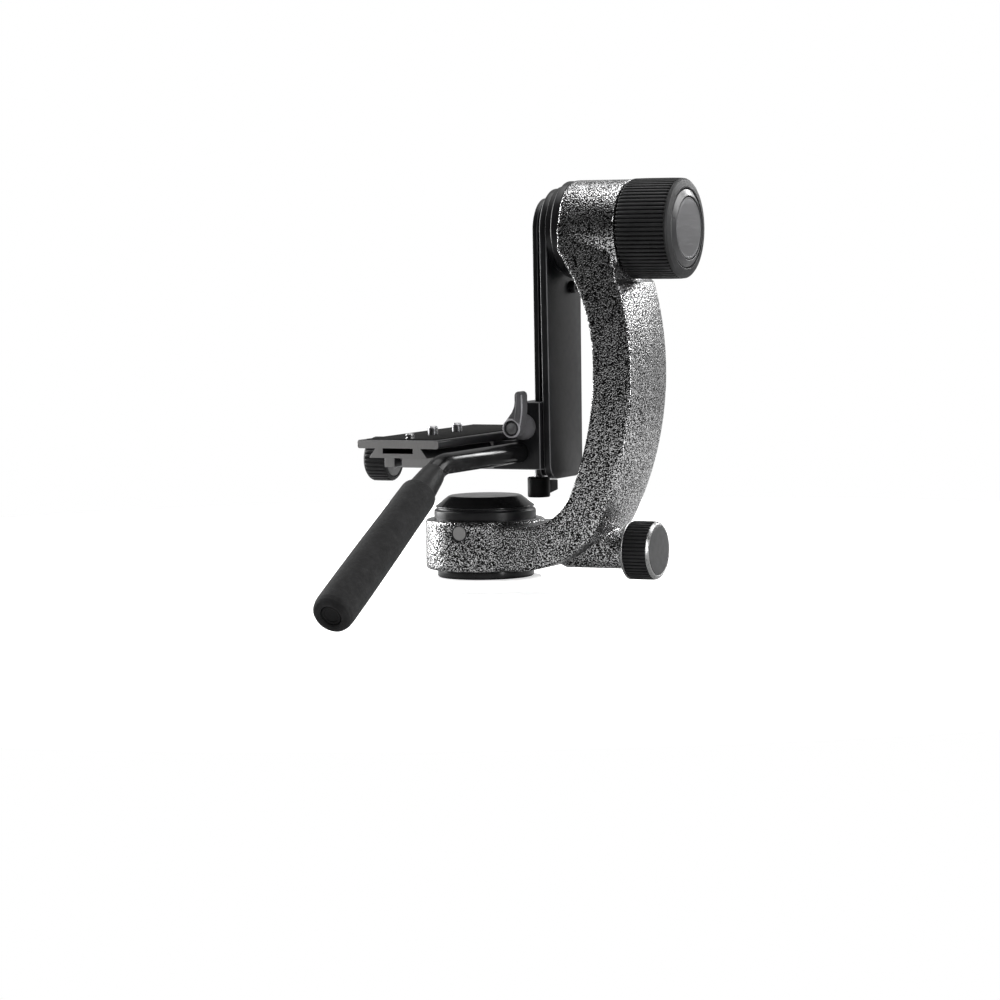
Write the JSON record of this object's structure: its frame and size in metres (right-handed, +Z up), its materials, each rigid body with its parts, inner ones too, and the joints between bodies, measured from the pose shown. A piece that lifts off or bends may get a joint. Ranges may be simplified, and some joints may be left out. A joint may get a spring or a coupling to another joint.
{
  "type": "gimbal tripod head",
  "caption": "Side-mount gimbal head for long lenses: fluid pan base, C-shaped arm, tilting plate with height-adjustable dovetail clamp and bent pan bar.",
  "frame": {"origin": "mouth of the 3/8 inch tripod thread, at the centre of the base's underside", "axes": "+Z up along the pan axis; +X along the tilt axis, towards the C-arm and the tilt knob; +Y the way the lens looks"},
  "size_m": [0.2151, 0.3093, 0.2451],
  "materials": {
    "hammered_casting": "hammered black and silver stove enamel over cast aluminium",
    "satin_black": "satin black anodised",
    "gloss_black": "polished black",
    "black_plastic": "fine matte moulded",
    "medallion_grey": "brushed, dark anodised",
    "lever_grey": "satin mid grey paint over cast aluminium",
    "plate_grey": "bead-blasted grey anodised",
    "pad_rubber": "fine grained",
    "grip_foam": "closed-cell foam",
    "silver_trim": "bright turned",
    "steel": "turned steel",
    "bronze": "sintered bronze"
  },
  "bodies": {
    "base": {"base_flange": "gloss_black", "pan_spindle": "steel", "thread_bush": "steel", "base_screws": "steel", "spindle_washer": "steel", "spindle_bolt": "steel"},
    "frame": {"c_arm": "hammered_casting", "hub_collar": "satin_black", "hub_cap": "gloss_black", "hub_plug": "lever_grey", "pan_bearing_lower": "bronze", "pan_bearing_upper": "bronze", "lock_bush": "bronze", "tilt_bearing_inner": "bronze", "tilt_bearing_outer": "bronze", "tilt_drag_sleeve": "steel"},
    "pan_brake": {"brake_shoe": "bronze"},
    "pan_lock": {"lock_screw": "steel", "lock_grip": "black_plastic", "lock_trim": "silver_trim", "lock_face": "lever_grey"},
    "swing": {"swing_plate": "satin_black", "swing_rail": "satin_black", "rail_screws": "steel", "tilt_flange": "satin_black", "flange_screws": "steel", "tilt_shaft": "steel", "stop_peg": "satin_black", "tilt_washer": "steel"},
    "tilt_knob": {"knob_nut": "bronze", "knob_grip": "black_plastic", "knob_ring": "black_plastic", "knob_medallion": "medallion_grey"},
    "platform": {"platform_bracket": "satin_black", "qr_guide_pins": "steel"},
    "height_lever": {"lever_shaft": "steel", "lever_arm": "lever_grey", "lever_screw": "silver_trim"},
    "rail_clamp": {"rail_jaw": "bronze"},
    "clamp_jaw": {"qr_jaw": "plate_grey"},
    "clamp_knob": {"qr_screw": "steel", "qr_grip": "black_plastic", "qr_hub": "silver_trim"},
    "long_plate": {"lens_plate": "plate_grey", "lens_pad": "pad_rubber", "plate_stud": "silver_trim", "lens_screws": "steel"},
    "pan_bar": {"bar_tube": "satin_black", "bar_sleeve": "black_plastic", "bar_grip": "grip_foam", "bar_end": "black_plastic"},
    "bar_lock": {"wing_knob": "black_plastic", "wing_screw": "steel"}
  },
  "joints": [
    {"name": "pan", "type": "hinge", "parent": "base", "child": "frame", "pos_m": [0, 0, 0.02], "axis": [0, 0, 1], "continuous": true},
    {"name": "tilt", "type": "hinge", "parent": "frame", "child": "swing", "pos_m": [0.083, 0, 0.21], "axis": [1, 0, 0], "range_deg": [-90, 25]},
    {"name": "tilt_knob_turn", "type": "hinge", "parent": "swing", "child": "tilt_knob", "pos_m": [0.118, 0, 0.21], "axis": [1, 0, 0], "range_deg": [0, 270]},
    {"name": "pan_lock_turn", "type": "hinge", "parent": "frame", "child": "pan_lock", "pos_m": [0.106, 0, 0.018], "axis": [-1, 0, 0], "range_deg": [0, 200]},
    {"name": "pan_brake_slide", "type": "slide", "parent": "frame", "child": "pan_brake", "axis": [-1, 0, 0], "range_m": [0, 0.0007]},
    {"name": "height_slide", "type": "slide", "parent": "swing", "child": "platform", "axis": [0, 0, 1], "range_m": [0, 0.085]},
    {"name": "height_lever_turn", "type": "hinge", "parent": "platform", "child": "height_lever", "pos_m": [0.0403, -0.036, 0.093], "axis": [0, 1, 0], "range_deg": [0, 90]},
    {"name": "rail_jaw_slide", "type": "slide", "parent": "platform", "child": "rail_clamp", "axis": [-1, 0, 0], "range_m": [0, 0.0006]},
    {"name": "clamp_jaw_slide", "type": "slide", "parent": "platform", "child": "clamp_jaw", "axis": [-1, 0, 0], "range_m": [0, 0.0044]},
    {"name": "clamp_knob_turn", "type": "hinge", "parent": "clamp_jaw", "child": "clamp_knob", "pos_m": [-0.065, 0, 0.0705], "axis": [-1, 0, 0], "range_deg": [0, 720]},
    {"name": "plate_slide", "type": "slide", "parent": "platform", "child": "long_plate", "axis": [0, 1, 0], "range_m": [-0.008, 0.08]},
    {"name": "bar_turn", "type": "hinge", "parent": "platform", "child": "pan_bar", "pos_m": [0.0365, -0.02, 0.0776], "axis": [0, 1, 0], "range_deg": [-90, 90]},
    {"name": "bar_lock_turn", "type": "hinge", "parent": "platform", "child": "bar_lock", "pos_m": [0.0365, 0, 0.055], "axis": [0, 0, 1], "range_deg": [0, 120]}
  ],
  "couplings": [
    {"joint": "pan_brake_slide", "follows": "pan_lock_turn", "m_per_rad": 0.00019894},
    {"joint": "rail_jaw_slide", "follows": "height_lever_turn", "m_per_rad": 0.00038197},
    {"joint": "clamp_jaw_slide", "follows": "clamp_knob_turn", "m_per_rad": 0.00031831}
  ]
}
